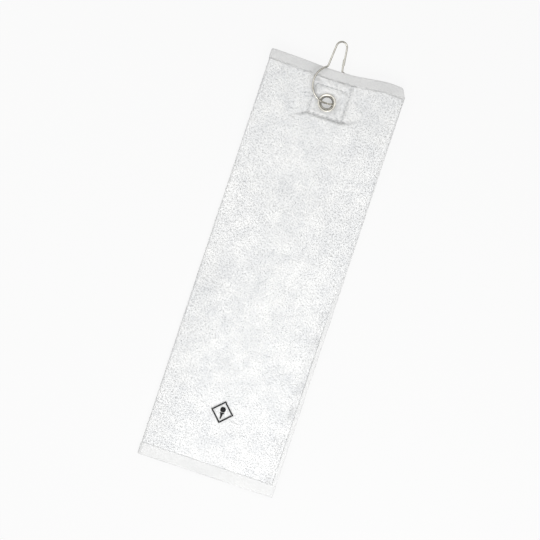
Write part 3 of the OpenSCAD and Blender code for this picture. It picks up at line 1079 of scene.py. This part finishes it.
# ----------------------------------------------------------------------------- threads
@dataclass
class Needlework:
    """The sewing threads and the embroidered emblem."""

    shape: ClothShape
    stitch: float = 2.3
    thread: float = 0.26

    def _line(self, corners: Sequence[tuple[float, float]], closed: bool) -> tuple[np.ndarray, np.ndarray]:
        """Divide a line into stitches.

        Args:
            corners: the line's corners.
            closed: whether it returns to its start.

        Returns:
            Where the stitches start and end.
        """
        points = list(corners) + ([corners[0]] if closed else [])
        starts, ends = [], []
        for a, b in zip(points, points[1:]):
            a, b = np.array(a, float), np.array(b, float)
            count = max(1, int(round(np.linalg.norm(b - a) / self.stitch)))
            for i in range(count):
                starts.append(a + (b - a) * (i + 0.12) / count)
                ends.append(a + (b - a) * (i + 0.88) / count)
        return np.array(starts), np.array(ends)

    def _sew(self, name: str, corners: Sequence[tuple[float, float]], surface: Surface, proud: float = 0.0,
             closed: bool = False, facing: float = 1.0, finish: Finish = Finish.SEAM) -> bpy.types.Object:
        """Lay a row of stitches on a surface.

        Args:
            name: the piece's name.
            corners: the row's corners.
            surface: the surface's height at a place.
            proud: how far above it the stitches start.
            closed: whether the row returns to its start.
            facing: 1 for up, -1 for down.
            finish: the thread.

        Returns:
            The object.
        """
        a, b = self._line(corners, closed)
        feet = np.column_stack([a, surface(a[:, 0], a[:, 1]) + proud])
        heads = np.column_stack([b, surface(b[:, 0], b[:, 1]) + proud])
        up = np.tile([0.0, 0.0, facing], (len(a), 1))
        piece = arches(name, feet, heads, up, 0.3, self.thread, sides=8, steps=6, sink=0.35)
        return dress(piece, finish)

    def emblem(self) -> bpy.types.Object:
        """Build the diamond with a ball on a tee in satin stitch, and return it."""
        cx, cy = -3.1, self.shape.low + 61.6
        starts, ends = [], []

        def add(p: Sequence[float], q: Sequence[float]) -> None:
            """Add one thread."""
            starts.append((cx + p[0], cy + p[1]))
            ends.append((cx + q[0], cy + q[1]))

        tips = [(10.6, 0), (0, 10.6), (-10.6, 0), (0, -10.6)]
        for a, b in zip(tips, tips[1:] + tips[:1]):
            a, b = np.array(a, float), np.array(b, float)
            inward = -(a + b) / np.linalg.norm(a + b)
            for t in np.arange(0.0, 1.0, 0.3 / np.linalg.norm(b - a)):
                p = a + (b - a) * t
                keep = 1.0 - 1.35 / 10.6
                add(p, a * keep + (b * keep - a * keep) * t if 0.04 < t < 0.96 else p + 1.35 * inward)
        for y in np.arange(-2.35, 2.36, 0.3):
            w = math.sqrt(2.5 ** 2 - y ** 2)
            add((-w, y + 2.5), (w, y + 2.5))
        for y in np.arange(-6.2, -0.6, 0.3):
            w = 2.2 if y > -1.3 else (1.3 if y > -1.9 else 0.45 + 0.1 * (y + 6.2))
            add((-w, y), (w, y))
        a, b = np.array(starts), np.array(ends)
        feet = np.column_stack([a, np.full(len(a), 6.2)])
        heads = np.column_stack([b, np.full(len(b), 6.2)])
        up = np.tile([0.0, 0.0, 1.0], (len(a), 1))
        piece = arches("emblem_embroidery", feet, heads, up, 0.42, 0.24, sides=6, steps=6, sink=0.9)
        return dress(piece, Finish.INK)

    def build(self) -> None:
        """Sew everything in place."""
        s = self.shape
        x0, x1, y0, y1 = s.box
        box = [(x0, y0), (x1, y0), (x1, y1), (x0, y1)]
        # the square's stitches use thread darkened as painted shade
        ride_towel(self._sew("box_stitches", box, s.front, 0.4, True, finish=Finish.THREAD), "box_stitching")
        ride_towel(self._sew("box_stitches_rear", box, s.level(0.35), 0.0, True, -1.0))
        top = [(x, float(s.top_edge(np.array(x)) - s.hem_top + 0.7)) for x in np.linspace(-64.0, 61.5, 12)]
        ride_towel(self._sew("top_hem_stitches", top, s.top_hem_height, 0.37), "top_hem_stitching")
        low = [(-62.0, s.low + s.hem_low - 1.2), (65.8, s.low + s.hem_low - 1.2)]
        ride_front(self._sew("bottom_hem_stitches", low, s.low_hem_height, 0.45), "bottom_hem_stitching")
        side = [(63.0, s.low + s.hem_low), (63.0, s.top - s.hem_top - 3)]
        ride_front(self._sew("side_hem_stitches", side, s.side_hem_height, 0.55), "side_hem_stitching")
        ride_front(self.emblem(), "emblem")


# ----------------------------------------------------------------------------- metal
@dataclass
class Eyelet:
    """The two-part metal eyelet, turned from its profiles."""

    shape: ClothShape
    barrel: float = 5.9
    flange: float = 8.8
    crown: float = 1.9
    grip: float = 1.2

    def _turn(self, name: str, profile: Sequence[tuple[float, float]]) -> bpy.types.Object:
        """Turn a closed profile about the eyelet's axis.

        Args:
            name: the piece's name.
            profile: radius and height, from top to bottom on the outside.

        Returns:
            The object.
        """
        count = len(profile)
        mesh = bpy.data.meshes.new(name)
        edges = [(i, (i + 1) % count) for i in range(count)]
        mesh.from_pydata([(r * MM, 0.0, z * MM) for r, z in profile], edges, [])
        piece = bpy.data.objects.new(name, mesh)
        bpy.context.collection.objects.link(piece)
        screw = piece.modifiers.new("turn", "SCREW")
        screw.steps = screw.render_steps = 72
        screw.use_merge_vertices, screw.merge_threshold = True, 1e-6
        screw.use_smooth_shade = True
        apply_stack(piece)
        bm = bmesh.new()
        bm.from_mesh(piece.data)
        bmesh.ops.remove_doubles(bm, verts=bm.verts, dist=1e-6)
        bmesh.ops.recalc_face_normals(bm, faces=bm.faces)
        bm.to_mesh(piece.data)
        bm.free()
        cx, cy = self.shape.eyelet
        piece.data.transform(Matrix.Translation((cx * MM, cy * MM, self.shape.hole_z * MM)))
        piece.data.shade_smooth()
        return dress(piece, Finish.NICKEL)

    def build(self) -> None:
        """Turn the eyelet and its washer, and fix them to the towel."""
        def arc(cx: float, cz: float, r: float, a: float, b: float, n: int) -> list[tuple[float, float]]:
            """Points of an arc."""
            return [(cx + r * math.cos(math.radians(a + (b - a) * i / n)),
                     cz + r * math.sin(math.radians(a + (b - a) * i / n))) for i in range(n + 1)]

        upper = (arc(self.barrel + 2.0, self.crown - 2.0, 2.0, 180, 90, 12)
                 + arc(self.flange - 0.7, self.crown - 0.7, 0.7, 84, 0, 8)
                 + [(self.flange - 0.25, self.grip + 0.02), (self.barrel + 0.5, self.grip + 0.02),
                    (self.barrel + 0.5, -self.grip - 0.35), (self.barrel + 1.2, -self.grip - 0.35)]
                 + arc(self.barrel + 0.55, 1.5 - self.crown, 1.5, 270, 190, 10))
        ride_towel(self._turn("eyelet_front", upper), "eyelet")
        r0 = self.barrel + 0.55
        ring = [(r0, -self.grip), (self.flange - 0.4, -self.grip), (self.flange - 0.1, -self.grip - 0.06),
                (self.flange, -self.grip - 0.16), (self.flange - 0.1, -self.grip - 0.26),
                (self.flange - 0.5, -self.grip - 0.34), (r0, -self.grip - 0.3)]
        ride_towel(self._turn("eyelet_washer", ring), "washer")


@dataclass
class WireClip:
    """The bent wire clip: ring, shoulders, neck and latch."""

    shape: ClothShape
    wire: float = 0.9
    left_ring: tuple[float, float, float] = (-1.9, 17.0, 17.5)
    right_ring: tuple[float, float, float] = (-0.3, 16.9, 17.8)
    tilt: float = 26.0
    lean: float = 3.7
    neck: tuple[float, float, float] = (0.35, 53.4, 5.7)
    shoulder: tuple[float, float] = (-8.5, 33.2)
    gate_shoulder: tuple[float, float] = (7.3, 31.2)
    hook_end: tuple[float, float, float] = (6.4, 37.0, 1.75)
    gate_end: tuple[float, float, float] = (6.55, 43.4, -1.3)

    def place(self, flat: np.ndarray) -> np.ndarray:
        """Tilt points of the clip's plane into the eyelet.

        Args:
            flat: points across, along and out of the clip's plane.

        Returns:
            The points in the row frame.
        """
        t, a = math.radians(self.tilt), math.radians(self.lean)
        x = flat[:, 0] * math.cos(t) + flat[:, 2] * math.sin(t)
        z = -flat[:, 0] * math.sin(t) + flat[:, 2] * math.cos(t)
        y = flat[:, 1]
        cx, cy = self.shape.eyelet
        return np.stack([cx + x * math.cos(a) - y * math.sin(a), cy + x * math.sin(a) + y * math.cos(a),
                         self.shape.hole_z + z], -1)

    @staticmethod
    def bend(circle: Sequence[float], a: float, b: float, n: int) -> np.ndarray:
        """Points of a circle (centre and radius), from angle a to angle b in degrees."""
        t = np.radians(np.linspace(a, b, n))
        return np.stack([circle[0] + circle[2] * np.cos(t), circle[1] + circle[2] * np.sin(t), 0 * t], -1)

    def paths(self) -> tuple[np.ndarray, np.ndarray]:
        """Work out the two centrelines.

        Returns:
            The hook's and the gate's, in the clip's plane.
        """
        neck_c, r = np.array(self.neck[:2]), self.neck[2]
        low = np.array(self.shoulder)
        to_neck = neck_c - low
        angle = math.atan2(to_neck[1], to_neck[0]) + math.asin(r / np.linalg.norm(to_neck))
        off = low - np.array(self.left_ring[:2])
        left = self.bend(self.left_ring, 277.0, math.degrees(math.atan2(off[1], off[0])), 90)
        neck = self.bend(self.neck, math.degrees(angle) + 90, 8.0, 40)
        hook = np.concatenate([left, neck, [self.hook_end]])
        low = np.array(self.gate_shoulder)
        off = low - np.array(self.right_ring[:2])
        right = self.bend(self.right_ring, -89.0, math.degrees(math.atan2(off[1], off[0])) - 14.0, 90)
        gate = np.concatenate([right, [(*low, 0.0), self.gate_end]])
        return self.soften(hook), self.soften(gate)

    @staticmethod
    def soften(path: np.ndarray) -> np.ndarray:
        """Space a path's points evenly and round its corners.

        Args:
            path: its points.

        Returns:
            The new points.
        """
        gone = np.concatenate([[0.0], np.cumsum(np.linalg.norm(np.diff(path, axis=0), axis=1))])
        even = np.linspace(0.0, gone[-1], int(gone[-1] / 0.5))
        path = np.stack([np.interp(even, gone, path[:, k]) for k in range(3)], -1)
        for _ in range(8):
            path[1:-1] = 0.25 * path[:-2] + 0.5 * path[1:-1] + 0.25 * path[2:]
        return path

    def build(self) -> None:
        """Bend the wire and fix it to its two bodies."""
        hook, gate = self.paths()
        for name, path, body, cad in (("hook_wire", hook, "clip", "clip_hook"),
                                      ("gate_wire", gate, "gate", "clip_gate")):
            piece = dress(wire(name, self.place(path), self.wire), Finish.NICKEL)
            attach(piece, body)
            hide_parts(cad)


# ----------------------------------------------------------------------------- studio
@dataclass
class Studio:
    """Floor, light and camera."""

    width: float = 0.505
    aim: tuple[float, float] = (-0.0027, -0.01155)
    roll: float = 18.4

    def camera(self) -> None:
        """Look straight down on the towel."""
        data = bpy.data.cameras.new("camera")
        data.type = "ORTHO"
        data.ortho_scale = self.width
        data.clip_end = 60.0
        view = bpy.data.objects.new("camera", data)
        bpy.context.collection.objects.link(view)
        view.location = (self.aim[0], self.aim[1], 6.0)
        view.rotation_euler = (0.0, 0.0, math.radians(self.roll))
        bpy.context.scene.camera = view

    def floor(self) -> None:
        """Lay a plain pale floor that glows evenly, with less glow under the towel as painted shade."""
        bpy.ops.mesh.primitive_plane_add(size=80.0, location=(0, 0, -0.0002))
        floor = bpy.context.object
        floor.name = "floor"
        material, tree, out = start_material("pale floor")
        place = node(tree, "ShaderNodeTexCoord", {}, {}, "Object")
        x = node(tree, "ShaderNodeSeparateXYZ", {}, {0: place}, "X")
        y = node(tree, "ShaderNodeSeparateXYZ", {}, {0: place}, "Y")
        # painted shade: under the towel the floor glows less, so the eyelet's hole shows it dark
        painted_shade_under_towel = x.near(0.0, 0.055) * y.near(-0.02, 0.18)
        paper = node(tree, "ShaderNodeBsdfDiffuse", {}, {"Color": (0.9, 0.9, 0.9, 1.0)})
        glow = node(tree, "ShaderNodeEmission", {}, {"Color": (0.955, 0.955, 0.955, 1.0), "Strength": 1.0})
        shader = node(tree, "ShaderNodeMixShader", {}, {0: 0.93 - painted_shade_under_towel * 0.6, 1: paper, 2: glow})
        tree.links.new(shader.value, out.inputs["Surface"])
        floor.data.materials.append(material)

    def light(self) -> None:
        """Light the scene with a soft sky and two large lamps."""
        world = bpy.data.worlds.new("sky")
        bpy.context.scene.world = world
        world.use_nodes = True
        tree = world.node_tree
        tree.nodes.clear()
        out = tree.nodes.new("ShaderNodeOutputWorld")
        way = node(tree, "ShaderNodeTexCoord", {}, {}, "Generated")
        parts = node(tree, "ShaderNodeSeparateXYZ", {}, {0: way}, "Z")
        stops = [(0.0, (0.03, 0.028, 0.024)), (0.4, (0.065, 0.062, 0.053)),
                 (0.72, (0.7, 0.7, 0.69)), (1.0, (1.0, 1.0, 1.0))]
        sky = node(tree, "ShaderNodeValToRGB", {"stops": stops}, {0: parts.clamp()})
        back = node(tree, "ShaderNodeBackground", {}, {"Color": sky, "Strength": 1.36})
        tree.links.new(back.value, out.inputs["Surface"])
        for name, place, size, power in (("key", (0.24, -0.4, 0.62), 0.5, 3.0),
                                         ("fill", (-0.75, -0.1, 0.5), 0.9, 1.7)):
            data = bpy.data.lights.new(name, "AREA")
            data.shape, data.size, data.energy = "SQUARE", size, power
            lamp = bpy.data.objects.new(name, data)
            bpy.context.collection.objects.link(lamp)
            lamp.location = place
            lamp.rotation_euler = (-Vector(place)).to_track_quat("-Z", "Y").to_euler()
        bpy.context.scene.view_settings.view_transform = "Standard"

    def build(self) -> None:
        """Set up the studio."""
        self.camera()
        self.floor()
        self.light()


def main() -> None:
    """Build the whole towel."""
    logging.basicConfig(level=logging.INFO)
    Studio().build()
    shape = ClothShape()
    for part in (FrontThird(shape), HiddenThirds(shape), Needlework(shape), Eyelet(shape), WireClip(shape)):
        known = set(bpy.data.objects.keys())
        part.build()
        for name in sorted(set(bpy.data.objects.keys()) - known):
            log.info("%s: %s", type(part).__name__, name)


if __name__ == "__main__":
    main()
